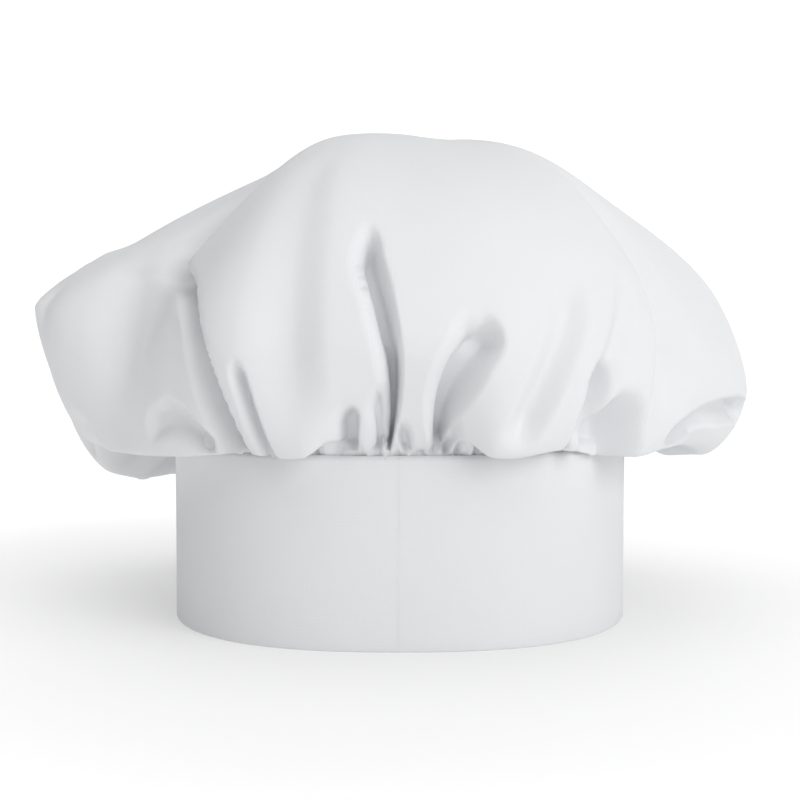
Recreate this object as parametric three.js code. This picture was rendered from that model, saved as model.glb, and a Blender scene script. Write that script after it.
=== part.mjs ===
// A soft chef hat: a straight band of doubled cloth, and a full round crown
// gathered into the band's top edge. Millimetres, +Z up, the wearer's face at -Y.
// The origin is on the floor, at the middle of the band that the hat stands on.
import * as THREE from 'three';
import { mergeVertices } from 'three/addons/utils/BufferGeometryUtils.js';

// Rows of values under named columns.
const table = (columns, ...rows) =>
  rows.map((row) => Object.fromEntries(columns.map((column, i) => [column, row[i]])));

// The band: a rounded square in plan, because soft cloth stands a little flatter than a circle.
const BAND_HALF_WIDTH = 92;
const BAND_PLAN_POWER = 2.4;
const BAND_HEIGHT = 73;
const BAND_WALL = 2;
const BAND_SEGMENTS = 96;

// The crown: one round piece of cloth, gathered on the seam above the band.
const CROWN_WALL = 1.2;
const SEAM_GAP = 0.3;
const SEAM_INSET = 1;
const ROLL_OUT = 6;
const ROLL_UP = 7;
const APEX_HEIGHT = 191;

// How finely the crown is cut: columns round it, closer together at the front, and rows up it.
const CROWN_COLUMNS = 160;
const FRONT_CROWDING = 0.4;
const ROW_STATIONS = [0, 0.5, 1, 1.35, 1.75, 2.1, 2.4, 2.7, 3, 3.3, 3.6, 3.9, 4.25, 4.65, 5.1, 5.55];

// A place on the crown is an azimuth, in degrees from the front and positive towards +X, and a
// station up the cloth: 0 the seam, 1 the roll above it, 2 the lowest point, 3 the widest,
// 4 the shoulder, 5 the crest and 6 the apex.
const APEX_STATION = 6;
// The cloth's length from the seam to each station, and along one degree of azimuth.
const STATION_LENGTHS = [0, 8, 28, 66, 116, 166, 216];
const DEGREE_LENGTH = 1.85;

// The crown's meridian at several azimuths: the radius and height at stations 2 to 5.
const SECTIONS = table(
  ['azimuth', 'droopR', 'droopZ', 'wideR', 'wideZ', 'shoulderR', 'shoulderZ', 'crestR', 'crestZ'],
  [-165, 124, 60, 140, 90, 112, 142, 60, 176],
  [-135, 132, 50, 152, 82, 114, 144, 58, 176],
  [-112, 134, 46, 157, 82, 118, 144, 57, 176],
  [-95, 132, 78, 150, 126, 106, 156, 55, 180],
  [-78, 126, 70, 134, 118, 99, 158, 53, 181],
  [-62, 119, 69, 118, 108, 90, 154, 50, 183],
  [-48, 108, 70, 113, 119, 94, 150, 52, 187],
  [-34, 104, 72.5, 122, 112, 98, 156, 54, 189],
  [-20, 106, 72, 120, 108, 97, 160, 54, 190],
  [0, 100, 83, 118, 112, 92, 162, 50, 190],
  [20, 106, 72, 121, 108, 96, 161, 52, 189],
  [34, 105, 74, 122, 110, 100, 158, 55, 188],
  [48, 108, 69, 119, 116, 100, 156, 58, 187],
  [64, 110, 71, 122, 108, 99, 150, 62, 183],
  [80, 118, 69, 140, 94, 112, 143, 64, 180],
  [98, 128, 62, 150, 86, 134, 128, 64, 178],
  [125, 128, 58, 148, 84, 116, 140, 62, 177],
  [160, 124, 58, 142, 88, 110, 142, 60, 178],
);

// Folds and ridges. Each runs from its low place to its high place, and bows to the right by a
// length. Its depth at the low end is inwards, so a ridge's is negative, and its share is what is
// left of the depth at the high end. It reaches left and right by its half widths, and past its
// high end by its cap. At the low end its widths are the foot's share, and no half width is less
// than the least one, or than a share of the depth.
const FOLDS = table(
  ['name', 'lowAt', 'lowStation', 'highAt', 'highStation', 'bow', 'depth', 'share', 'left', 'right',
    'cap', 'foot'],
  ['long centre fold', -3, 0, -6.6, 3.66, 6, 14, 0.7, 6, 7, 13, 0.3],
  ['small arch', -11.3, 0, -9.3, 1.9, 0, 14, 0.7, 6, 4.5, 24, 1],
  ['tall arch', 7.6, 0, 14, 2.85, -7, 16, 0.3, 9, 9.5, 22, 0.3],
  ['left valley', -30, 0, -58, 3.5, 24, 18, 0.5, 16, 7, 14, 0.4],
  ['crease over the left puff', -39, 2.2, -56, 2.36, 3, 5, 0.5, 4, 7, 6, 1],
  ['crease in the left sheet', -74, 2.2, -71, 3.6, 3, -4, 1, 18, 12, 12, 1],
  ['edge over the left sheet', -64, 3.2, -50, 4.8, 0, 10, 0.1, 18, 7, 26, 1],
  ['fold beside the right arch', 33, 0, 36.5, 2.75, 0, 10, 0.5, 4, 9, 8, 0.4],
  ['right arch', 46, 0, 46.5, 2.1, 0, 20, 0.9, 14, 19, 22, 0.8],
  ['hollow above the right arch', 38, 2.5, 52, 3.4, 0, 6, 0.8, 12, 10, 16, 1],
  ['edge over the right sheet', 57, 2.2, 55, 4.8, 5, 16, 0.1, 6, 24, 14, 1],
  ['roll of the right rear lobe', 64, 1.9, 88, 2.85, -9, 9, 0.5, 5, 9, 8, 1],
  ['line over the left rear lobe', -80, 1.7, -104, 2.3, 2, 12, 0.8, 9, 5, 10, 1],
  ['broad valley on the left', -18.5, 1.9, -23, 4.4, 2, 7, 0.2, 18, 10, 14, 1],
  ['broad valley on the right', 25, 1.9, 31, 3.5, 2, 7, 0.5, 9, 13, 20, 1],
  ['ridge out to the left tip', -86, 3.9, -93, 3, 0, -2, 1, 14, 14, 12, 1],
  ['left tip', -91, 3, -93, 3, 0, -6, 1, 22, 22, 18, 1],
  ['left side valley', -78, 0, -76, 2.2, 2, 8, 0.3, 9, 9, 9, 0.6],
  ['right side valley', 75, 0, 76, 2.4, 3, 10, 0.3, 12, 8, 10, 0.5],
  ['rear valley 1', 100, 0, 104, 3, 2, 12, 0.4, 9, 13, 14, 0.4],
  ['rear valley 2', 122, 0, 116, 2.8, 2, 11, 0.4, 13, 9, 14, 0.4],
  ['rear valley 3', 143, 0, 148, 3.3, -4, 15, 0.5, 9, 14, 12, 0.3],
  ['rear valley 4', 166, 0, 163, 2.8, 3, 12, 0.5, 10, 8, 12, 0.4],
  ['rear valley 5', -172, 0, -170, 3.6, -5, 16, 0.6, 8, 13, 10, 0.3],
  ['rear valley 6', -153, 0, -156, 2.7, 3, 11, 0.5, 12, 8, 12, 0.4],
  ['rear valley 7', -136, 0, -130, 3.2, 3, 13, 0.4, 13, 9, 12, 0.3],
  ['rear valley 8', -114, 0, -117, 2.6, -2, 10, 0.4, 9, 11, 12, 0.4],
  ['hollow behind the right shoulder', 158, 2.6, 132, 4.6, -5, 8, 0.2, 22, 16, 16, 1],
  ['hollow behind the left shoulder', -146, 2.6, -160, 4.6, 6, 8, 0.2, 16, 22, 16, 1],
);
const LEAST_HALF_WIDTH = 5;
const LEAST_SHARE_OF_DEPTH = 0.65;
// The bow of a fold lies a little past its middle.
const BOW_SKEW = 1.3;
// The middle share of a fold's width that is its level floor.
const FLOOR_SHARE = 0.3;
// A fold that starts higher reaches its depth over this share of its length.
const FADE_IN = 0.3;
// Towards the apex all folds fade out over this many stations.
const APEX_FADE = 1;
// The stations either side of a place between which its direction up the cloth is taken.
const STATION_STEP = 1e-3;

// Folds begin on the seam with a small share of their depth and have it all at the free station.
const SEAM_SHARE = 0.12;
const FOLDS_BEGIN = 0.3;
const FREE_STATION = 1.2;
// From this station on the folds go in square to the cloth, and below it level.
const SQUARE_FROM = 2.1;
// At the front the cloth hangs straight from the seam up to this station.
const STRAIGHT_TO = 3.2;
const HANGING_AT = -0.5;
const HANGING_HALF_WIDTH = 19;
const HANGING_SHARE = 0.85;
const HANGING_ROUNDNESS = 0.6;
// How the cloth keeps off the band: how far outside the seam it stays, up to which level above
// the band, how fast it may go inwards above that, and how soft the bend is.
const EDGE_CLEARANCE = 4;
const EDGE_LEVEL = 1;
const EDGE_SLOPE = 0.9;
const EDGE_SOFTNESS = 2;

// Small gathers all round the seam, with uneven spacing.
const PLEATS = 40;
const PLEAT_DEPTH = 1.8;
const PLEAT_STATION = 0.6;
const PLEAT_REACH = 0.8;
const PLEAT_SHIFTS = table(['times', 'size', 'phase'], [5, 1.4, 0.4], [3, 1.1, 2]);

const radians = THREE.MathUtils.degToRad;
const smooth = (x) => THREE.MathUtils.smoothstep(x, 0, 1);
const wrapDegrees = (d) => THREE.MathUtils.euclideanModulo(d + 180, 360) - 180;
const bell = (x) => Math.exp(-x * x);
// A bow that is 0 at both ends and 1 in the middle.
const arc = (u) => 4 * u * (1 - u);

// Radius of the band's plan at an azimuth: a superellipse.
function planRadius(azimuth, half) {
  const a = radians(azimuth);
  const power = BAND_PLAN_POWER;
  return half * (Math.abs(Math.cos(a)) ** power + Math.abs(Math.sin(a)) ** power) ** (-1 / power);
}

// A cubic from p[1] to p[2] with spacings d, as a Catmull-Rom curve takes it.
function cubic(p, d, u) {
  const m1 = ((p[1] - p[0]) / d[0] - (p[2] - p[0]) / (d[0] + d[1]) + (p[2] - p[1]) / d[1]) * d[1];
  const m2 = ((p[2] - p[1]) / d[1] - (p[3] - p[1]) / (d[1] + d[2]) + (p[3] - p[2]) / d[2]) * d[1];
  const u2 = u * u;
  const u3 = u2 * u;
  return (
    (2 * u3 - 3 * u2 + 1) * p[1] + (u3 - 2 * u2 + u) * m1 + (3 * u2 - 2 * u3) * p[2] + (u3 - u2) * m2
  );
}

// One column of the sections at any azimuth.
function section(column, azimuth) {
  const n = SECTIONS.length;
  const first = SECTIONS[0].azimuth;
  const a = THREE.MathUtils.euclideanModulo(azimuth - first, 360) + first;
  const row = (i) => SECTIONS[(i + n) % n];
  const knot = (i) => row(i).azimuth + 360 * Math.floor(i / n);
  let i = n - 1;
  while (knot(i) > a) i -= 1;
  const near = [i - 1, i, i + 1, i + 2];
  const d = [0, 1, 2].map((k) => knot(near[k + 1]) - knot(near[k]));
  return cubic(near.map((k) => row(k)[column]), d, (a - knot(i)) / d[1]);
}

// The meridian's points at an azimuth, with a guide point below the seam and one past the apex.
function meridian(azimuth) {
  const seam = planRadius(azimuth, BAND_HALF_WIDTH - SEAM_INSET);
  const seamZ = BAND_HEIGHT + SEAM_GAP;
  const at = (name) => new THREE.Vector2(section(`${name}R`, azimuth), section(`${name}Z`, azimuth));
  const crest = at('crest');
  return [
    new THREE.Vector2(seam - ROLL_OUT / 2, seamZ - ROLL_UP),
    new THREE.Vector2(seam, seamZ),
    new THREE.Vector2(seam + ROLL_OUT, seamZ + ROLL_UP),
    at('droop'),
    at('wide'),
    at('shoulder'),
    crest,
    new THREE.Vector2(0, APEX_HEIGHT),
    new THREE.Vector2(-crest.x, crest.y),
  ];
}

// Radius and height on a meridian at a station.
function onMeridian(points, station) {
  const i = Math.min(Math.floor(station), APEX_STATION - 1);
  const near = points.slice(i, i + 4);
  const d = [0, 1, 2].map((k) => Math.sqrt(near[k].distanceTo(near[k + 1])));
  const along = (axis) => cubic(near.map((p) => p[axis]), d, station - i);
  return new THREE.Vector2(along('x'), along('y'));
}

// The cloth's length from the seam up to a station.
function clothLength(station) {
  const i = Math.min(Math.floor(station), APEX_STATION - 1);
  return THREE.MathUtils.lerp(STATION_LENGTHS[i], STATION_LENGTHS[i + 1], station - i);
}

// How far one fold pushes the cloth inwards at a place.
function pushAt(fold, azimuth, station) {
  const low = clothLength(fold.lowStation);
  const onCloth = (degrees, at) => new THREE.Vector2(degrees * DEGREE_LENGTH, clothLength(at) - low);
  const from = onCloth(wrapDegrees(azimuth - fold.lowAt), station);
  const run = onCloth(fold.highAt - fold.lowAt, fold.highStation);
  const length = run.length();
  const way = run.normalize();
  const along = from.dot(way);
  const u = THREE.MathUtils.clamp(along / length, 0, 1);
  const across = from.cross(way) - fold.bow * arc(u ** BOW_SKEW);
  const onSeam = fold.lowStation === 0;
  const past = onSeam ? Math.max(along - length, 0) : along - u * length;

  const widening = THREE.MathUtils.lerp(fold.foot, 1, smooth(u));
  const least = Math.max(LEAST_HALF_WIDTH, LEAST_SHARE_OF_DEPTH * fold.depth);
  const halfWidth = Math.max((across < 0 ? fold.left : fold.right) * widening, least);
  const reach = Math.min(Math.hypot(across / halfWidth, past / fold.cap), 1);
  const fadeIn = onSeam ? 1 : smooth(u / FADE_IN);
  const strength = fadeIn * THREE.MathUtils.lerp(1, fold.share, u);
  const valley = 1 - smooth((reach - FLOOR_SHARE) / (1 - FLOOR_SHARE));
  return fold.depth * strength * (fold.depth > 0 ? valley : (1 - reach) ** 2);
}

// The small gathers at the seam. The seam itself stays on the band.
function pleatAt(azimuth, station) {
  const a = radians(azimuth);
  const shift = PLEAT_SHIFTS.reduce((sum, s) => sum + s.size * Math.sin(s.times * a + s.phase), 0);
  const wave = (1 + Math.sin(PLEATS * a + shift)) / 2;
  return PLEAT_DEPTH * wave * bell((station - PLEAT_STATION) / PLEAT_REACH) * smooth(station / PLEAT_STATION);
}

// How much the cloth hangs straight at a place.
function hangingAt(azimuth, station) {
  const fromFront = Math.abs(wrapDegrees(azimuth - HANGING_AT)) / HANGING_HALF_WIDTH;
  return HANGING_SHARE * (1 - smooth(2 * fromFront - 1)) * (1 - smooth(station - STRAIGHT_TO + 1));
}

// A point of the crown's outer face.
function crownPoint(azimuth, station) {
  const points = meridian(azimuth);
  const place = onMeridian(points, station);
  const before = onMeridian(points, Math.max(station - STATION_STEP, 0));
  const after = onMeridian(points, Math.min(station + STATION_STEP, APEX_STATION));
  const tangent = after.sub(before).normalize();
  const square = new THREE.Vector2(-tangent.y, tangent.x);
  const way = new THREE.Vector2(-1, 0).lerp(square, smooth(station - SQUARE_FROM)).normalize();

  const seam = onMeridian(points, 0);
  const straightTo = onMeridian(points, STRAIGHT_TO);
  const share = Math.min(clothLength(station) / clothLength(STRAIGHT_TO), 1);
  const turning = (share * Math.PI) / 2;
  const outShare = THREE.MathUtils.lerp(share, Math.sin(turning), HANGING_ROUNDNESS);
  const upShare = THREE.MathUtils.lerp(share, 1 - Math.cos(turning), HANGING_ROUNDNESS);
  const straight = new THREE.Vector2(
    THREE.MathUtils.lerp(seam.x, straightTo.x, outShare),
    THREE.MathUtils.lerp(seam.y, straightTo.y, upShare),
  );
  const hanging = hangingAt(azimuth, station);
  place.lerp(straight, hanging);

  const fromSeam = THREE.MathUtils.lerp(
    smooth(station / FREE_STATION), smooth(station / FOLDS_BEGIN), SEAM_SHARE,
  );
  const strength = fromSeam * Math.min((APEX_STATION - station) / APEX_FADE, 1);
  const push = FOLDS.reduce((sum, fold) => sum + pushAt(fold, azimuth, station), 0);
  place.addScaledVector(way, push * strength);

  // Beside the band the cloth lies against its outer face.
  const above = Math.max(place.y - seam.y - EDGE_LEVEL, 0);
  const least = seam.x + EDGE_CLEARANCE * smooth(station) * (1 - hanging) - EDGE_SLOPE * above;
  const softness = EDGE_SOFTNESS * smooth(station);
  const r = (place.x + least + Math.hypot(place.x - least, softness)) / 2 - pleatAt(azimuth, station);
  return new THREE.Vector3(r * Math.sin(radians(azimuth)), -r * Math.cos(radians(azimuth)), place.y);
}

// The azimuth of a column, with the columns closer together at the front.
function columnAzimuth(i) {
  const s = (2 * i) / CROWN_COLUMNS - 1;
  return 180 * THREE.MathUtils.lerp(s, s ** 3, FRONT_CROWDING);
}

// The crown is a closed wall: an outer face, an inner face one wall further in, and the seam edge
// between them.
function crownGeometry() {
  const rows = ROW_STATIONS.length;
  const outer = [];
  for (let i = 0; i < CROWN_COLUMNS; i += 1) {
    for (const station of ROW_STATIONS) {
      outer.push(crownPoint(columnAzimuth(i), station));
    }
  }
  const apex = outer.length;
  outer.push(new THREE.Vector3(0, 0, APEX_HEIGHT));

  const face = [];
  const seam = [];
  const innerFrom = outer.length;
  for (let i = 0; i < CROWN_COLUMNS; i += 1) {
    const a = i * rows;
    const b = ((i + 1) % CROWN_COLUMNS) * rows;
    for (let k = 0; k < rows - 1; k += 1) {
      face.push([a + k, b + k, b + k + 1], [a + k, b + k + 1, a + k + 1]);
    }
    face.push([a + rows - 1, b + rows - 1, apex]);
    seam.push([a, a + innerFrom, b + innerFrom], [a, b + innerFrom, b]);
  }

  const shell = new THREE.BufferGeometry().setFromPoints(outer).setIndex(face.flat());
  shell.computeVertexNormals();
  const normals = shell.getAttribute('normal');
  const inner = outer.map((point, i) =>
    point.clone().addScaledVector(new THREE.Vector3().fromBufferAttribute(normals, i), -CROWN_WALL),
  );
  for (let a = 0; a < apex; a += rows) {
    inner[a].z = outer[a].z;
  }
  const inside = face.map(([a, b, c]) => [a + innerFrom, c + innerFrom, b + innerFrom]);
  return new THREE.BufferGeometry()
    .setFromPoints([...outer, ...inner])
    .setIndex([...face, ...inside, ...seam].flat());
}

// A closed outline of the band's plan.
function planOutline(half) {
  const points = [];
  for (let i = 0; i < BAND_SEGMENTS; i += 1) {
    const azimuth = (360 * i) / BAND_SEGMENTS;
    const r = planRadius(azimuth, half);
    points.push(new THREE.Vector2(r * Math.sin(radians(azimuth)), -r * Math.cos(radians(azimuth))));
  }
  return points;
}

function bandGeometry() {
  const plan = new THREE.Shape(planOutline(BAND_HALF_WIDTH));
  plan.holes.push(new THREE.Path(planOutline(BAND_HALF_WIDTH - BAND_WALL)));
  return new THREE.ExtrudeGeometry(plan, { depth: BAND_HEIGHT, bevelEnabled: false });
}

const cloth = { roughness: 0.9, metalness: 0 };

const band = new THREE.Mesh(
  bandGeometry(),
  new THREE.MeshStandardMaterial({ color: 0xe6e7e8, ...cloth }),
);
band.name = 'band';

const crown = new THREE.Mesh(
  mergeVertices(crownGeometry()),
  new THREE.MeshStandardMaterial({ color: 0xebecec, ...cloth }),
);
crown.name = 'crown';

const hat = new THREE.Group();
hat.add(band, crown);

export default hat;
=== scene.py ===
# A soft white chef hat on a pale floor: a doubled band, and a full crown gathered into it.
import math

import bpy
import numpy as np
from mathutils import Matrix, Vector


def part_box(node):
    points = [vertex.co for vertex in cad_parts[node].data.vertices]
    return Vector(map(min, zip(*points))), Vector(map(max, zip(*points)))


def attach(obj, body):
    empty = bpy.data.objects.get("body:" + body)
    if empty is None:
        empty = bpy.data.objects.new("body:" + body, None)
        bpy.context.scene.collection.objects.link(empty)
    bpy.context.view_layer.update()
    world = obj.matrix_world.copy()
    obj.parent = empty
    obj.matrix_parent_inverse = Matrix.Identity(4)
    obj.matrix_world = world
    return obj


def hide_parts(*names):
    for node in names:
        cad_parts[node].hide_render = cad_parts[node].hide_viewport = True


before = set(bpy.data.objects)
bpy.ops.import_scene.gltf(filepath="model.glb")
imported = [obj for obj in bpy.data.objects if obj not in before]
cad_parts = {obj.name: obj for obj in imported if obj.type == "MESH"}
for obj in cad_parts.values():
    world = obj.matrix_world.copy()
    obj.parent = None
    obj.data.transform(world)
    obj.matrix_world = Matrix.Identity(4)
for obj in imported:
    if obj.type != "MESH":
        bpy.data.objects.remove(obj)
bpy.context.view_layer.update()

band_low, band_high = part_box("band")

MM = 0.001


def table(columns, *rows):
    """Rows of values under named columns."""
    names = columns.split()
    return [dict(zip(names, row)) for row in rows]


# Camera: a little above the hat's middle, looking slightly down. Metres and degrees.
CAMERA_DISTANCE = 0.7
CAMERA_HEIGHT = 0.138
CAMERA_DOWN = 4.27
CAMERA_LENS = 76.0

camera = bpy.data.objects.new("camera", bpy.data.cameras.new("camera"))
camera.data.sensor_width = 36
camera.data.lens = CAMERA_LENS
camera.data.clip_end = 50
camera.location = (0, -CAMERA_DISTANCE, CAMERA_HEIGHT)
camera.rotation_euler = (math.radians(90 - CAMERA_DOWN), 0, 0)
bpy.context.scene.collection.objects.link(camera)
bpy.context.scene.camera = camera

# Sizes in millimetres from here on. The band's come from the frame.
BAND_HALF_WIDTH = (band_high.x - band_low.x) / 2 / MM
BAND_HEIGHT = band_high.z / MM
BAND_PLAN_POWER = 2.4

# The band: one strip of cloth folded at the floor and closed by a plain seam at the back.
BAND_CLOTH = 0.7
BAND_LAYERS_APART = 0.5
BAND_CUT_LENGTH = 590
BAND_COLUMNS = 480
BAND_ROWS = 33
FOLD_STEPS = 9
# The seam's groove: its depth and half width, and the finer columns either side of it.
BACK_SEAM_DEPTH = 0.5
BACK_SEAM_HALF_WIDTH = 0.7
BACK_SEAM_DEGREES = [0.1, 0.25, 0.4, 0.55]
# Slow waves in the cloth: how many go round, their size and phase, and whether they grow towards
# the top or are largest half way up.
BAND_WAVES = table(
    "times size phase top",
    [2, 0.25, 0.6, 0],
    [5, 0.14, 2.1, 0],
    [9, 0.08, 4.0, 1],
    [14, 0.06, 1.2, 1],
)

# The crown: one round piece of cloth, sewn in between the band's two layers, a little inside the
# band's outer face. Just above the seam it rolls outwards and up.
CROWN_CLOTH = 0.5
SEAM_DEPTH = 2
SEAM_INSET = 1
ROLL_OUT = 6
ROLL_UP = 7
APEX_HEIGHT = 191
CUT_RADIUS = 225

# A place on the crown is an azimuth, in degrees from the front and positive towards +X, and a
# station up the cloth: 0 the seam, 1 the roll above it, 2 the lowest point, 3 the widest,
# 4 the shoulder, 5 the crest and 6 the apex.
APEX_STATION = 6
# The cloth's length from the seam to each station, and along one degree of azimuth.
STATION_LENGTHS = [0, 8, 28, 66, 116, 166, 216]
DEGREE_LENGTH = 1.85

# The crown's meridian at several azimuths: the radius and height at stations 2 to 5.
SECTIONS = table(
    "azimuth droop_r droop_z wide_r wide_z shoulder_r shoulder_z crest_r crest_z",
    [-165, 126, 55, 140, 90, 112, 142, 60, 176],
    [-135, 139, 45, 153, 80, 114, 143, 58, 175],
    [-112, 139, 49, 159, 81, 116, 142, 57, 174],
    [-95, 132, 77, 146, 121, 106, 152.5, 55, 176],
    [-80, 126, 70, 142, 120, 102, 153, 53, 178],
    [-64, 118, 69, 114, 108, 90, 151, 50, 181.5],
    [-48, 110, 70, 113, 119, 94, 150, 51, 186],
    [-34, 104, 72.5, 122, 112, 98, 156, 54, 189],
    [-20, 106, 72, 120, 108, 97, 160, 54, 190],
    [0, 100, 83, 118, 112, 92, 162, 50, 190],
    [20, 106, 72, 121, 108, 96, 161, 52, 188],
    [34, 108, 74, 122, 110, 100, 158, 55, 187],
    [48, 114, 70, 121, 114, 100, 156, 59, 187],
    [64, 115, 71, 124, 106, 98, 149, 62, 184.5],
    [80, 118, 69, 138, 94, 111, 141, 64, 181],
    [98, 131, 61, 147, 82, 133, 131, 64, 177.5],
    [125, 128, 58, 148, 84, 116, 140, 62, 177],
    [160, 124, 58, 142, 88, 110, 142, 60, 178],
)

# Folds and ridges. Each runs from its low place to its high place, and bows to the right by a
# length. Its depth at the low end is inwards, so a ridge's is negative, and its share is what is
# left of the depth at the high end. It reaches left and right by its half widths. Past its high
# end, and past a low end that isn't on the seam, it reaches by its cap. At the low end its widths
# are the foot's share. One side leans over the valley by a length: the left one where the lean is
# positive, and the right one where it is negative. The floor is the middle share of the width
# that is level.
FOLDS = table(
    "name low_at low_station high_at high_station bow depth share left right cap foot lean floor",
    ["long centre fold", -3, 0, -6.6, 3.62, 6, 14, 0.75, 6, 6.5, 12, 0.3, 4, 0.3],
    ["fold into the centre", -5.8, 0, -4.6, 2.2, 1, 8, 0.8, 4.5, 4, 18, 0.9, 2.5, 0.3],
    ["small arch", -12, 0, -10.2, 2.15, 0, 12, 0.8, 8, 5, 10, 1.1, 2.5, 0.3],
    ["slit beside the centre", 1.8, 0, 1, 1.5, 0, 7, 0.8, 3.5, 4, 15, 0.8, -1, 0.3],
    ["tall arch", 8.2, 0, 13.4, 3.12, -5.5, 17, 0.7, 10, 9, 10, 0.35, 5, 0.35],
    ["hollow beside the tall arch", 9.8, 0, 10.2, 1.7, 0, 8, 0.8, 3.5, 4.5, 18, 0.8, 0.5, 0.3],
    ["left valley", -30.5, 0, -62.5, 3.74, 23, 18, 0.5, 13, 6, 10, 0.9, -3.5, 0.15],
    ["pocket beside the left valley", -24.5, 0, -28.3, 2.75, 0, 8, 0.8, 3.5, 3.5, 8, 1.5, 1, 0.3],
    ["crease over the left puff", -38, 2.2, -53, 2.42, 4, 8, 0.5, 8, 4, 6, 1, -2, 0.3],
    ["crease in the left sheet", -65.5, 2.5, -71.5, 3.6, 0, 3, 1, 9, 12, 8, 1, 0, 0],
    ["edge over the left sheet", -62.8, 3.66, -49.5, 4.7, 0, 11, 0.1, 22, 7, 12, 1, -3, 0.2],
    ["fold beside the right arch", 33, 0, 36, 2.75, 0, 12, 0.7, 5, 8, 8, 0.4, 3, 0.3],
    ["right arch", 43.5, 0, 43, 2.3, 0, 22, 0.9, 13, 14, 15, 1, 4, 0.4],
    ["hollow above the right arch", 36, 2.6, 44.5, 3.3, 0, 5, 0.6, 8, 9, 14, 0.9, 0, 0],
    ["edge over the right sheet", 51.5, 2.2, 57, 4.8, 5, 16, 0.1, 6, 24, 14, 1, 4, 0.3],
    ["roll of the right rear lobe", 58, 2.15, 90, 2.86, -3, 11, 0.8, 4, 10, 8, 1, 2.5, 0.3],
    ["line over the left rear lobe", -80, 1.7, -104, 2.3, 2, 12, 0.8, 9, 5, 10, 1, 0, 0.3],
    ["broad valley on the left", -18.5, 1.9, -23, 4.4, 2, 6, 0.2, 18, 14, 14, 1, 0, 0],
    ["broad valley on the right", 21, 2.2, 30.5, 3.3, 0, 8, 0.6, 9, 8, 16, 1, 0, 0],
    ["ridge out to the left tip", -86, 3.9, -93, 3, 0, -2, 1, 14, 14, 12, 1, 0, 0.3],
    ["left tip", -84, 3.02, -90, 3.02, 0, -5, 1, 24, 24, 18, 1, 0, 0],
    ["left side valley", -78, 0, -76, 2.2, 2, 8, 0.3, 9, 9, 9, 0.6, 0, 0.3],
    ["right side valley", 75, 0, 76, 2.4, 3, 10, 0.3, 12, 8, 10, 0.5, 0, 0.3],
    ["rear valley 1", 100, 0, 105, 3.5, 3, 14, 0.4, 10, 15, 16, 0.7, 3, 0.2],
    ["rear valley 2", 122, 0, 115, 3, 2, 12, 0.4, 14, 9, 14, 0.7, -2, 0.2],
    ["rear valley 3", 143, 0, 149, 3.8, -5, 16, 0.4, 10, 15, 16, 0.7, 4, 0.2],
    ["rear valley 4", 166, 0, 162, 3.1, 3, 13, 0.4, 11, 9, 14, 0.7, -2, 0.2],
    ["rear valley 5", -172, 0, -169, 3.8, -5, 16, 0.5, 9, 14, 14, 0.7, 4, 0.2],
    ["rear valley 6", -153, 0, -157, 3, 3, 12, 0.4, 13, 9, 14, 0.7, -2, 0.2],
    ["rear valley 7", -136, 0, -129, 3.6, 3, 14, 0.4, 14, 10, 14, 0.7, -3, 0.2],
    ["rear valley 8", -114, 0, -118, 2.9, -2, 11, 0.4, 10, 12, 14, 0.7, 2, 0.2],
    ["hollow behind the right shoulder", 158, 2.6, 132, 4.6, -5, 8, 0.2, 22, 16, 16, 1, 0, 0.3],
    ["hollow behind the left shoulder", -146, 2.6, -160, 4.6, 6, 8, 0.2, 16, 22, 16, 1, 0, 0.3],
)
# A fold that starts higher reaches its depth over this share of its length.
FADE_IN = 0.3
# Towards the apex all folds fade out over this many stations.
APEX_FADE = 1

# The lip that leans lies between the fold's middle and its edge: its place and its reach round
# that place, as shares of the half width.
LIP_PLACE = 0.75
LIP_REACH = 0.35

# The seam itself has no folds. They have a small share of their depth where folds begin, and all
# of it at the free station.
SEAM_SHARE = 0.12
FOLDS_BEGIN = 0.3
FREE_STATION = 1.2
# From this station on the folds go in square to the cloth, and below it level.
SQUARE_FROM = 2.1
# The bow of a fold lies a little past its middle.
BOW_SKEW = 1.3
# At the front the cloth hangs straight from the seam up to this station: round an azimuth, over a
# half width in degrees, by a share of the way from the droop to the straight line, and a little
# rounded.
STRAIGHT_TO = 3.2
HANGING_AT = -0.5
HANGING_HALF_WIDTH = 19
HANGING_SHARE = 0.85
HANGING_ROUNDNESS = 0.6
# How the cloth keeps off the band: how far outside the seam it stays, up to which level above the
# band, how fast it may go inwards above that, and how soft the bend is.
EDGE_CLEARANCE = 3
EDGE_LEVEL = 1
EDGE_SLOPE = 0.9
EDGE_SOFTNESS = 2

# The gathers: short pleats of uneven size all round the seam. Each lies off its even place by up
# to the jitter's share of the spacing.
GATHERS = 190
GATHER_SEED = 11
GATHER_JITTER = 0.4
GATHER_DEPTH = (-2.8, 4.4)
GATHER_HALF_WIDTH = (0.55, 1.15)
GATHER_LENGTH = (5, 20)
GATHER_SLANT = 0.18
# What a gather has of its depth on the seam, and how far up it has it all.
GATHER_SEAM_SHARE = 0.4
GATHER_RISE = 2.5

# How far the cloth's wear reaches from an edge or the seam.
WEAR_REACH = 4

# How finely the crown is cut: rows further apart away from the seam, and columns round it,
# closer together at the front and halved at these lengths up the cloth.
ROW_STEP = 0.85
ROW_STEP_GROWTH = 0.012
CROWN_COLUMNS = 560
FRONT_CROWDING = 0.5
HALVED_AT = [85, 160]

# A small step between stations, for the cloth's slope, and the least radius at which a move round
# the hat still turns the cloth.
STATION_STEP = 1e-3
LEAST_RADIUS = 0.5


def smooth(x):
    """A step from 0 to 1 with soft ends."""
    x = np.clip(x, 0, 1)
    return x * x * (3 - 2 * x)


def bell(x):
    """A bump of height 1 round 0."""
    return np.exp(-x * x)


def arc(u):
    """A bow that is 0 at both ends and 1 in the middle."""
    return 4 * u * (1 - u)


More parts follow.
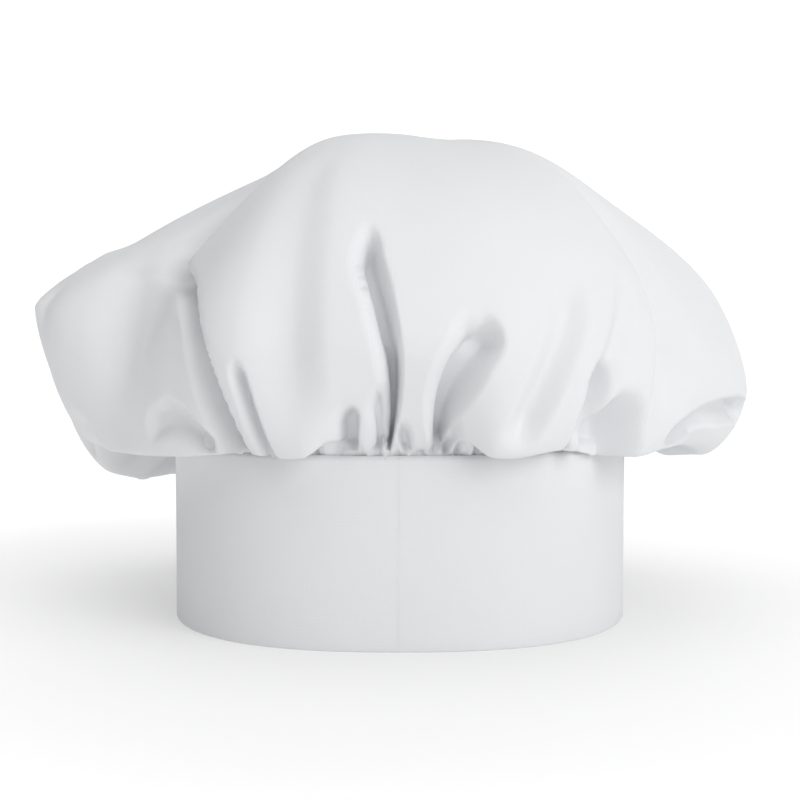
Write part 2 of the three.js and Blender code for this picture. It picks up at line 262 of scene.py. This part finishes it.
def mix(a, b, share):
    """The value at a share of the way from a to b."""
    return a + (b - a) * share


def wrap_degrees(d):
    """An angle as one from -180 to 180 degrees."""
    return (d + 180) % 360 - 180


def plan_radius(azimuth, half):
    """Radius of the band's plan at an azimuth: a superellipse."""
    a = np.radians(azimuth)
    power = BAND_PLAN_POWER
    return half * (np.abs(np.cos(a)) ** power + np.abs(np.sin(a)) ** power) ** (-1 / power)


def cubic(p, d, u):
    """A cubic from p[1] to p[2] with spacings d, as a Catmull-Rom curve takes it."""
    m1 = ((p[1] - p[0]) / d[0] - (p[2] - p[0]) / (d[0] + d[1]) + (p[2] - p[1]) / d[1]) * d[1]
    m2 = ((p[2] - p[1]) / d[1] - (p[3] - p[1]) / (d[1] + d[2]) + (p[3] - p[2]) / d[2]) * d[1]
    a = 2 * u**3 - 3 * u**2 + 1
    b = u**3 - 2 * u**2 + u
    c = -2 * u**3 + 3 * u**2
    return a * p[1] + b * m1 + c * p[2] + (u**3 - u**2) * m2


def section(column, azimuth):
    """One column of the sections at any azimuths."""
    knots = np.array([row["azimuth"] for row in SECTIONS], float)
    values = np.array([row[column] for row in SECTIONS], float)
    knots = np.concatenate([knots[-2:] - 360, knots, knots[:2] + 360])
    values = np.concatenate([values[-2:], values, values[:2]])
    first = SECTIONS[0]["azimuth"]
    a = (azimuth - first) % 360 + first
    i = np.searchsorted(knots, a, side="right") - 1
    spacing = [knots[i + k + 1] - knots[i + k] for k in (-1, 0, 1)]
    near = [values[i + k] for k in (-1, 0, 1, 2)]
    return cubic(near, spacing, (a - knots[i]) / spacing[1])


def meridians(azimuth):
    """The meridians' points, with a guide point below the seam and one past the apex."""
    seam = plan_radius(azimuth, BAND_HALF_WIDTH - SEAM_INSET)
    level = np.ones_like(azimuth)
    crest_r = section("crest_r", azimuth)
    crest_z = section("crest_z", azimuth)
    r = [seam - ROLL_OUT / 2, seam, seam + ROLL_OUT]
    z = [(BAND_HEIGHT - ROLL_UP) * level, BAND_HEIGHT * level, (BAND_HEIGHT + ROLL_UP) * level]
    for name in ("droop", "wide", "shoulder"):
        r.append(section(f"{name}_r", azimuth))
        z.append(section(f"{name}_z", azimuth))
    r += [crest_r, 0 * level, -crest_r]
    z += [crest_z, APEX_HEIGHT * level, crest_z]
    return np.array([r, z])


def on_meridians(points, station):
    """Radius and height on each meridian at its station."""
    places = np.arange(points.shape[2])
    i = np.clip(np.floor(station).astype(int), 0, APEX_STATION - 1)
    near = [points[:, i + k, places] for k in range(4)]
    spacing = [np.sqrt(np.hypot(*(near[k + 1] - near[k]))) for k in range(3)]
    return cubic(near, spacing, station - i)


def cloth_length(station):
    """The cloth's length from the seam up to a station."""
    return np.interp(station, range(APEX_STATION + 1), STATION_LENGTHS)


def fold_at(fold, azimuth, station):
    """How far one fold pushes the cloth inwards, and how far it moves it round the hat and up."""
    low = cloth_length(fold["low_station"])
    x = wrap_degrees(azimuth - fold["low_at"]) * DEGREE_LENGTH
    y = cloth_length(station) - low
    run_x = (fold["high_at"] - fold["low_at"]) * DEGREE_LENGTH
    run_y = cloth_length(fold["high_station"]) - low
    length = math.hypot(run_x, run_y)
    along = (x * run_x + y * run_y) / length
    u = np.clip(along / length, 0, 1)
    across = (x * run_y - y * run_x) / length - fold["bow"] * arc(u**BOW_SKEW)
    on_seam = fold["low_station"] == 0
    past = np.maximum(along - length, 0) if on_seam else along - u * length

    widening = mix(fold["foot"], 1, smooth(u))
    half_width = np.where(across < 0, fold["left"], fold["right"]) * widening
    reach = np.minimum(np.hypot(across / half_width, past / fold["cap"]), 1)
    fade_in = 1 if on_seam else smooth(u / FADE_IN)
    strength = fade_in * mix(1, fold["share"], u)
    level = fold["floor"]
    profile = 1 - smooth((reach - level) / (1 - level))
    if fold["depth"] < 0:
        profile = (1 - reach) ** 2
    push = fold["depth"] * strength * profile

    hand = 1 if fold["lean"] > 0 else -1
    out_x = across / half_width / np.maximum(reach, LIP_REACH)
    out_y = past / fold["cap"] / np.maximum(reach, LIP_REACH)
    lip = bell((reach - LIP_PLACE) / LIP_REACH) * smooth(0.5 - hand * out_x)
    lip *= abs(fold["lean"]) * widening * strength * smooth((1 - reach) / (1 - LIP_PLACE))
    return push, -lip * out_x, -lip * out_y


def gathers_at(azimuth, station):
    """How far the short pleats at the seam push the cloth inwards."""
    chance = np.random.default_rng(GATHER_SEED)
    jitter = chance.uniform(-GATHER_JITTER, GATHER_JITTER, GATHERS)
    places = 360 * (np.arange(GATHERS) + jitter) / GATHERS
    columns = np.stack([
        places,
        chance.uniform(*GATHER_DEPTH, GATHERS),
        chance.uniform(*GATHER_HALF_WIDTH, GATHERS),
        chance.uniform(*GATHER_LENGTH, GATHERS),
        chance.uniform(-GATHER_SLANT, GATHER_SLANT, GATHERS),
    ], axis=1)
    up = cloth_length(station)
    round_seam = math.radians(1) * BAND_HALF_WIDTH
    push = np.zeros_like(azimuth)
    for place, depth, half_width, length, slant in columns:
        across = wrap_degrees(azimuth - place) * round_seam - slant * up
        widening = 1 + up / length
        push += depth * bell(across / half_width / widening) * bell(up / length)
    return push * mix(GATHER_SEAM_SHARE, 1, smooth(up / GATHER_RISE))


def inward_way(tangent, station):
    """The way in which folds go inwards: level near the seam, and square to the cloth above."""
    level = np.array([-1 + 0 * station, 0 * station])
    square = np.array([-tangent[1], tangent[0]])
    way = mix(level, square, smooth(station - SQUARE_FROM))
    return way / np.hypot(*way)


def hanging_share(azimuth, station):
    """How much of the way the cloth goes from its droop to a straight line, at the front."""
    from_front = np.abs(wrap_degrees(azimuth - HANGING_AT)) / HANGING_HALF_WIDTH
    across = 1 - smooth(2 * from_front - 1)
    return HANGING_SHARE * across * (1 - smooth(station - STRAIGHT_TO + 1))


def straight_line(points, station):
    """The slightly rounded line from the seam to the meridian's point at the straight station."""
    share = np.minimum(cloth_length(station) / cloth_length(STRAIGHT_TO), 1)
    turning = share * math.pi / 2
    rounded = np.array([np.sin(turning), 1 - np.cos(turning)])
    seam_points = on_meridians(points, 0 * station)
    top_points = on_meridians(points, 0 * station + STRAIGHT_TO)
    return mix(seam_points, top_points, mix(share, rounded, HANGING_ROUNDNESS))


def crown_points(azimuth, station):
    """Points of the crown's outer face, in metres."""
    points = meridians(azimuth)
    before = on_meridians(points, np.maximum(station - STATION_STEP, 0))
    after = on_meridians(points, np.minimum(station + STATION_STEP, APEX_STATION))
    tangent = after - before
    tangent /= np.hypot(*tangent)
    way = inward_way(tangent, station)
    hanging = hanging_share(azimuth, station)
    r, z = mix(on_meridians(points, station), straight_line(points, station), hanging)

    # The folds, which fade out at the seam and at the apex.
    push = np.zeros_like(azimuth)
    turn = np.zeros_like(azimuth)
    rise = np.zeros_like(azimuth)
    for fold in FOLDS:
        fold_push, fold_turn, fold_rise = fold_at(fold, azimuth, station)
        push += fold_push
        turn += fold_turn
        rise += fold_rise
    from_seam = SEAM_SHARE * smooth(station / FOLDS_BEGIN)
    from_seam += (1 - SEAM_SHARE) * smooth(station / FREE_STATION)
    strength = from_seam * np.minimum((APEX_STATION - station) / APEX_FADE, 1)
    push *= strength
    angle = np.radians(azimuth) + turn * strength / np.maximum(r, LEAST_RADIUS)
    r = r + push * way[0] + rise * strength * tangent[0]
    z = z + push * way[1] + rise * strength * tangent[1]

    # The cloth keeps outside the seam, and goes inwards only above the band's top edge.
    above = np.maximum(z - BAND_HEIGHT - EDGE_LEVEL, 0)
    seam_r = on_meridians(points, 0 * station)[0]
    least = seam_r + EDGE_CLEARANCE * smooth(station) * (1 - hanging) - EDGE_SLOPE * above
    r = (r + least + np.hypot(r - least, EDGE_SOFTNESS * smooth(station))) / 2
    r -= gathers_at(azimuth, station)
    return np.stack([r * np.sin(angle), -r * np.cos(angle), z], axis=-1) * MM


def row_lengths():
    """The cloth's lengths from the seam at which the crown has a row."""
    lengths = [0.0]
    while lengths[-1] < STATION_LENGTHS[-1]:
        lengths.append(lengths[-1] + ROW_STEP + ROW_STEP_GROWTH * lengths[-1])
    scale = STATION_LENGTHS[-1] / lengths[-1]
    return [length * scale for length in lengths[:-1]]


def column_azimuths(count):
    """Azimuths of the columns, closer together at the front."""
    s = 2 * np.arange(count) / count - 1
    return 180 * mix(s, s**3, FRONT_CROWDING)


def new_mesh(name, points, faces):
    """A smooth mesh in the scene, from points in metres and the points of each face."""
    mesh = bpy.data.meshes.new(name)
    mesh.from_pydata([tuple(p) for p in points], [], faces)
    mesh.update()
    mesh.shade_smooth()
    piece = bpy.data.objects.new(name, mesh)
    bpy.context.scene.collection.objects.link(piece)
    return piece


def cloth_coordinates(piece, coordinates):
    """Keeps each point's place on the flat cloth, in metres, as the piece's UV map."""
    layer = piece.data.uv_layers.new(name="cloth")
    corners = np.zeros(len(piece.data.loops), int)
    piece.data.loops.foreach_get("vertex_index", corners)
    layer.data.foreach_set("uv", coordinates[corners].astype(np.float32).ravel())


def keep_wear(piece, wear):
    """Keeps how worn the cloth is at each point, from 0 to 1."""
    layer = piece.data.attributes.new("wear", "FLOAT", "POINT")
    layer.data.foreach_set("value", wear.astype(np.float32))


def ring_faces(low, high, count):
    """Four-sided faces between two rings of points, given by their first points."""
    faces = []
    for i in range(count):
        j = (i + 1) % count
        faces.append((low + i, low + j, high + j, high + i))
    return faces


def halving_faces(low, high, count):
    """Three-sided faces from a ring of points up to one with half as many."""
    faces = []
    for i in range(count // 2):
        left, middle, right = low + 2 * i, low + 2 * i + 1, low + (2 * i + 2) % count
        top_left, top_right = high + i, high + (i + 1) % (count // 2)
        faces.append((left, middle, top_left))
        faces.append((middle, top_right, top_left))
        faces.append((middle, right, top_right))
    return faces


def make_crown():
    """The crown's cloth as rows of points from the seam to the apex."""
    lengths = row_lengths()
    azimuth, length, rows = [], [], []
    for row_length in lengths:
        halvings = sum(row_length >= limit for limit in HALVED_AT)
        count = CROWN_COLUMNS >> halvings
        rows.append((len(azimuth), count))
        azimuth.extend(column_azimuths(count))
        length.extend([row_length] * count)
    azimuth = np.array(azimuth)
    length = np.array(length)
    station = np.interp(length, STATION_LENGTHS, range(APEX_STATION + 1))
    points = crown_points(azimuth, station)

    # A short hem goes down from the seam, in between the band's layers.
    hem = points[:CROWN_COLUMNS] - np.array([0, 0, SEAM_DEPTH * MM])
    apex = np.array([[0, 0, APEX_HEIGHT * MM]])
    first_hem = len(points)
    apex_index = first_hem + CROWN_COLUMNS
    points = np.concatenate([points, hem, apex])

    faces = ring_faces(first_hem, 0, CROWN_COLUMNS)
    for (low, count), (high, high_count) in zip(rows, rows[1:]):
        join = ring_faces if high_count == count else halving_faces
        faces += join(low, high, count)
    last, count = rows[-1]
    for i in range(count):
        faces.append((last + i, last + (i + 1) % count, apex_index))
    crown = new_mesh("crown_cloth", points, faces)

    # The flat cut is a disc, with the apex at its middle.
    angle = np.radians(np.concatenate([azimuth, azimuth[:CROWN_COLUMNS], [0]]))
    along = np.concatenate([length, np.zeros(CROWN_COLUMNS), [STATION_LENGTHS[-1]]])
    radius = CUT_RADIUS * (1 - along / STATION_LENGTHS[-1])
    flat = np.stack([radius * np.sin(angle), -radius * np.cos(angle)], axis=1)
    cloth_coordinates(crown, flat * MM)
    keep_wear(crown, bell(along / WEAR_REACH))
    return crown


def band_outline():
    """The strip's section: distance in from the outer face, and height. It goes down the inner
    layer, round the fold at the floor and up the outer layer."""
    middle_out = BAND_CLOTH / 2
    middle_in = BAND_CLOTH * 1.5 + BAND_LAYERS_APART
    fold_radius = (middle_in - middle_out) / 2
    bottom = BAND_CLOTH / 2 + fold_radius
    top = BAND_HEIGHT - BAND_CLOTH
    heights = np.linspace(bottom, top, BAND_ROWS)
    outline = [(middle_in, height) for height in heights[::-1]]
    for turn in np.linspace(0, math.pi, FOLD_STEPS)[1:-1]:
        inset = middle_in - fold_radius + fold_radius * math.cos(turn)
        outline.append((inset, bottom - fold_radius * math.sin(turn)))
    return outline + [(middle_out, height) for height in heights]


def make_band():
    """The strip's middle surface, swept round the plan."""
    outline = band_outline()
    regular = 360 * np.arange(BAND_COLUMNS) / BAND_COLUMNS
    seam = [180 + side * degrees for degrees in BACK_SEAM_DEGREES for side in (-1, 1)]
    azimuth = np.sort(np.concatenate([regular, seam]))
    columns = len(azimuth)
    a = np.radians(azimuth)
    from_seam = wrap_degrees(azimuth - 180) * math.radians(1) * BAND_HALF_WIDTH
    groove = BACK_SEAM_DEPTH * bell(from_seam / BACK_SEAM_HALF_WIDTH)
    centre = (outline[0][0] + outline[-1][0]) / 2

    rings, flat = [], []
    run = 0
    before = outline[0]
    for inset, height in outline:
        r = plan_radius(azimuth, BAND_HALF_WIDTH) - inset
        r -= groove * np.sign(centre - inset)
        share = height / BAND_HEIGHT
        for wave in BAND_WAVES:
            strength = wave["size"] * (share if wave["top"] else arc(share))
            r -= strength * (1 + np.sin(wave["times"] * a + wave["phase"])) / 2
        rings.append(np.stack([r * np.sin(a), -r * np.cos(a), height + 0 * r], axis=1))
        run += math.hypot(inset - before[0], height - before[1])
        before = (inset, height)
        flat.append(np.stack([azimuth / 360 * BAND_CUT_LENGTH, run + 0 * a], axis=1))
    faces = []
    for k in range(len(rings) - 1):
        faces += ring_faces((k + 1) * columns, k * columns, columns)
    band = new_mesh("band_cloth", np.concatenate(rings) * MM, faces)
    cloth_coordinates(band, np.concatenate(flat) * MM)
    heights = np.concatenate(rings)[:, 2]
    from_edge = np.minimum(heights, BAND_HEIGHT - heights)
    keep_wear(band, bell(from_edge / WEAR_REACH))
    return band


def thicken(piece, thickness, offset):
    """Gives a sheet its thickness: on its inner side at an offset of -1, and on both at 0."""
    solid = piece.modifiers.new("thickness", "SOLIDIFY")
    solid.thickness = thickness * MM
    solid.offset = offset
    solid.use_even_offset = False
    bpy.context.view_layer.objects.active = piece
    bpy.ops.object.modifier_apply(modifier=solid.name)


# The cotton's plain weave and its crumples, in millimetres.
THREAD_SPACING = 0.5
THREAD_HEIGHT = 0.055
THREAD_WAVINESS = 0.4
CRUMPLE_SIZE = 22
CRUMPLE_HEIGHT = 0.5
CRUMPLE_DETAIL = 2.5
CRUMPLE_ROUGHNESS = 0.45
SLUB_LENGTH = 30
PATCH_SIZE = 60
PATCH_DETAIL = 3
# A wave texture repeats after this length at a scale of 1.
WAVE_PERIOD = 2 * math.pi / 20
# What the slubs add to the weave's relief, how strong that relief is, what the patches add to the
# greyness, and how much darker it is between the threads.
SLUB_SHARE = 0.6
WEAVE_STRENGTH = 0.5
PATCH_SHARE = 0.5
THREAD_DARKNESS = 0.06
# How rough the cloth is between the threads and on top of them.
ROUGH_LOW = 0.95
ROUGH_HIGH = 0.82
SHEEN = 0.08
SHEEN_ROUGHNESS = 0.5
SPECULAR = 0.3
# The two cottons: colour in the light, colour of the greyer patches, and how crumpled they are.
CROWN_COTTON = ((0.795, 0.802, 0.815), (0.755, 0.763, 0.78), 0.35)
BAND_COTTON = ((0.785, 0.79, 0.80), (0.745, 0.75, 0.765), 0.15)
# A mix node has sockets of one name for each kind of data. These are the places of the colour's.
COLOUR_A = 6
COLOUR_B = 7
COLOUR_RESULT = 2


def connect(tree, socket, value):
    """Links another node's output to a socket, or sets the socket to a plain value."""
    if isinstance(value, bpy.types.NodeSocket):
        tree.links.new(value, socket)
    else:
        socket.default_value = value


def node(tree, kind, settings=None, **inputs):
    """A new shader node with its settings, and its inputs set or linked by name."""
    made = tree.nodes.new("ShaderNode" + kind)
    for name, value in (settings or {}).items():
        setattr(made, name, value)
    for name, value in inputs.items():
        connect(tree, made.inputs[name.replace("_", " ")], value)
    return made


def worked_out(tree, operation, *values):
    """The result of one arithmetic operation on values in their order."""
    made = node(tree, "Math", {"operation": operation})
    for socket, value in zip(made.inputs, values):
        connect(tree, socket, value)
    return made.outputs["Value"]


def mixed_colour(tree, blend, factor, a, b):
    """Two colours mixed in one way by a factor."""
    made = node(tree, "Mix", {"data_type": "RGBA", "blend_type": blend}, Factor=factor)
    connect(tree, made.inputs[COLOUR_A], a)
    connect(tree, made.inputs[COLOUR_B], b)
    return made.outputs[COLOUR_RESULT]


def noise(tree, vector, **inputs):
    """A noise texture's grey value."""
    return node(tree, "TexNoise", Vector=vector, **inputs).outputs["Fac"]


def thread_rows(tree, flat, direction):
    """Rounded threads that run square to a direction of the flat cloth."""
    scale = WAVE_PERIOD / (THREAD_SPACING * MM)
    settings = {"bands_direction": direction}
    wave = node(tree, "TexWave", settings, Vector=flat, Scale=scale, Distortion=THREAD_WAVINESS)
    return wave.outputs["Fac"]


def plain_weave(tree, flat):
    """Warp over weft and weft over warp by turns."""
    checks = node(tree, "TexChecker", Vector=flat, Scale=1 / (THREAD_SPACING * MM))
    warp = thread_rows(tree, flat, "X")
    weft = thread_rows(tree, flat, "Y")
    return node(tree, "Mix", Factor=checks.outputs["Fac"], A=warp, B=weft).outputs["Result"]


def slub_noise(tree, flat):
    """Long thin places where a thread is thicker."""
    scale = [1 / (SLUB_LENGTH * MM), 1 / (THREAD_SPACING * MM), 1]
    stretched = node(tree, "Mapping", Vector=flat, Scale=scale)
    return noise(tree, stretched.outputs["Vector"], Scale=1, Detail=1)


def cotton_relief(tree, solid, weave, slubs, crumple):
    """The surface's small relief: broad crumples with the weave on them."""
    crumples = noise(
        tree, solid, Scale=1 / (CRUMPLE_SIZE * MM),
        Detail=CRUMPLE_DETAIL, Roughness=CRUMPLE_ROUGHNESS,
    )
    rough_weave = worked_out(tree, "MULTIPLY_ADD", slubs, SLUB_SHARE, weave)
    broad = node(tree, "Bump", Height=crumples, Strength=crumple, Distance=CRUMPLE_HEIGHT * MM)
    fine = node(
        tree, "Bump", Height=rough_weave, Strength=WEAVE_STRENGTH,
        Distance=THREAD_HEIGHT * MM, Normal=broad.outputs["Normal"],
    )
    return fine.outputs["Normal"]


def cotton_colour(tree, solid, weave, slubs, colour, shade):
    """The tone: greyer patches, worn edges and seams, and darker places between the threads."""
    patches = noise(tree, solid, Scale=1 / (PATCH_SIZE * MM), Detail=PATCH_DETAIL)
    wear = node(tree, "Attribute", {"attribute_name": "wear"}).outputs["Fac"]
    worn = worked_out(tree, "MULTIPLY", wear, slubs)
    greyness = worked_out(tree, "MULTIPLY_ADD", patches, PATCH_SHARE, worn)
    tone = mixed_colour(tree, "MIX", greyness, (*colour, 1), (*shade, 1))
    return mixed_colour(tree, "MULTIPLY", THREAD_DARKNESS, tone, weave)


def cotton(name, colour, shade, crumple):
    """White woven cotton."""
    material = bpy.data.materials.new(name)
    material.use_nodes = True
    tree = material.node_tree
    shader = tree.nodes["Principled BSDF"]
    places = node(tree, "TexCoord")
    flat, solid = places.outputs["UV"], places.outputs["Object"]

    weave = plain_weave(tree, flat)
    slubs = slub_noise(tree, flat)
    normal = cotton_relief(tree, solid, weave, slubs, crumple)
    tree.links.new(normal, shader.inputs["Normal"])
    base = cotton_colour(tree, solid, weave, slubs, colour, shade)
    tree.links.new(base, shader.inputs["Base Color"])
    roughness = node(tree, "MapRange", Value=weave, To_Min=ROUGH_LOW, To_Max=ROUGH_HIGH)
    tree.links.new(roughness.outputs["Result"], shader.inputs["Roughness"])
    shader.inputs["Sheen Weight"].default_value = SHEEN
    shader.inputs["Sheen Roughness"].default_value = SHEEN_ROUGHNESS
    shader.inputs["Specular IOR Level"].default_value = SPECULAR
    return material


crown = make_crown()
thicken(crown, CROWN_CLOTH, -1)
crown.data.materials.append(cotton("crown cotton", *CROWN_COTTON))
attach(crown, "root")
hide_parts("crown")

band = make_band()
thicken(band, BAND_CLOTH, 0)
band.data.materials.append(cotton("band cotton", *BAND_COTTON))
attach(band, "root")
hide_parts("band")

# The stage, in metres and degrees: a wide pale floor that rises gently all round, so that it
# fills the view.
LEVEL_RADIUS = 1.5
FLOOR_RADIUS = 18.0
FLOOR_RISE = 12
FLOOR_SEGMENTS = 96
FLOOR_RINGS = [0.2, 0.5, 1.0, LEVEL_RADIUS, 2, 3, 5, 8, 12, FLOOR_RADIUS]


def make_floor():
    """The floor as rings of points round the hat's middle."""
    points = [(0, 0, 0)]
    for r in FLOOR_RINGS:
        past = max(r - LEVEL_RADIUS, 0)
        height = past * math.tan(math.radians(FLOOR_RISE)) * past / (past + LEVEL_RADIUS)
        for i in range(FLOOR_SEGMENTS):
            a = 2 * math.pi * i / FLOOR_SEGMENTS
            points.append((r * math.sin(a), -r * math.cos(a), height))
    faces = [(0, 1 + i, 1 + (i + 1) % FLOOR_SEGMENTS) for i in range(FLOOR_SEGMENTS)]
    for k in range(len(FLOOR_RINGS) - 1):
        low = 1 + k * FLOOR_SEGMENTS
        faces += ring_faces(low + FLOOR_SEGMENTS, low, FLOOR_SEGMENTS)
    return new_mesh("floor", points, faces)


# The floor's paper: how much light it gives back, its painted glow near the hat's middle and away
# from it, and the two distances in metres between which the glow grows. The glow is painted light
# that makes the paper look white. Being weaker near the hat, it paints shade round the hat on top
# of the hat's soft cast shadow.
PAPER_GREY = 0.5
NEAR_PAINTED_GLOW = 0.41
FAR_PAINTED_GLOW = 0.68
PAINTED_GLOW_GROWS = (0.1, 0.36)


def make_glowing_paper():
    """Matt pale paper with a painted glow, weaker near the hat so that it paints shade round it.
    """
    paper = bpy.data.materials.new("pale floor with painted glow")
    paper.use_nodes = True
    tree = paper.node_tree
    shader = tree.nodes["Principled BSDF"]
    shader.inputs["Base Color"].default_value = (PAPER_GREY, PAPER_GREY, PAPER_GREY, 1)
    shader.inputs["Roughness"].default_value = 1
    shader.inputs["Specular IOR Level"].default_value = 0
    # Painted light: the paper glows white though it is no lamp, and glows less near the hat, which
    # paints shade round it.
    shader.inputs["Emission Color"].default_value = (1, 1, 1, 1)
    from_hat = node(tree, "VectorMath", {"operation": "LENGTH"})
    tree.links.new(node(tree, "TexCoord").outputs["Object"], from_hat.inputs[0])
    nearest, furthest = PAINTED_GLOW_GROWS
    painted_glow = node(
        tree, "MapRange", Value=from_hat.outputs["Value"],
        From_Min=nearest, From_Max=furthest, To_Min=NEAR_PAINTED_GLOW, To_Max=FAR_PAINTED_GLOW,
    )
    tree.links.new(painted_glow.outputs["Result"], shader.inputs["Emission Strength"])
    return paper


floor = make_floor()
floor.data.materials.append(make_glowing_paper())

# Light: broad soft lamps far away, each from a direction and as wide as an angle in degrees. The
# sky gives none, because the floor fills the view.
LAMPS = table(
    "name from_x from_y from_z width strength",
    ["front right", 0.55, -0.75, 0.4, 40, 1.28],
    ["key", 0.63, -0.44, 0.63, 30, 0.4],
    ["top", 0, -0.1, 1, 70, 1.53],
    ["back", 0.1, 0.9, 0.3, 60, 1.1],
    ["left", -0.85, -0.35, 0.4, 50, 0.15],
)

sky = bpy.data.worlds.new("sky")
sky.use_nodes = True
sky.node_tree.nodes["Background"].inputs["Strength"].default_value = 0
bpy.context.scene.world = sky

for lamp in LAMPS:
    light = bpy.data.objects.new(lamp["name"], bpy.data.lights.new(lamp["name"], "SUN"))
    light.data.energy = lamp["strength"]
    light.data.angle = math.radians(lamp["width"])
    direction = Vector((lamp["from_x"], lamp["from_y"], lamp["from_z"]))
    light.rotation_euler = direction.to_track_quat("Z", "Y").to_euler()
    bpy.context.scene.collection.objects.link(light)

bpy.context.scene.view_settings.view_transform = "Standard"

bpy.context.view_layer.update()
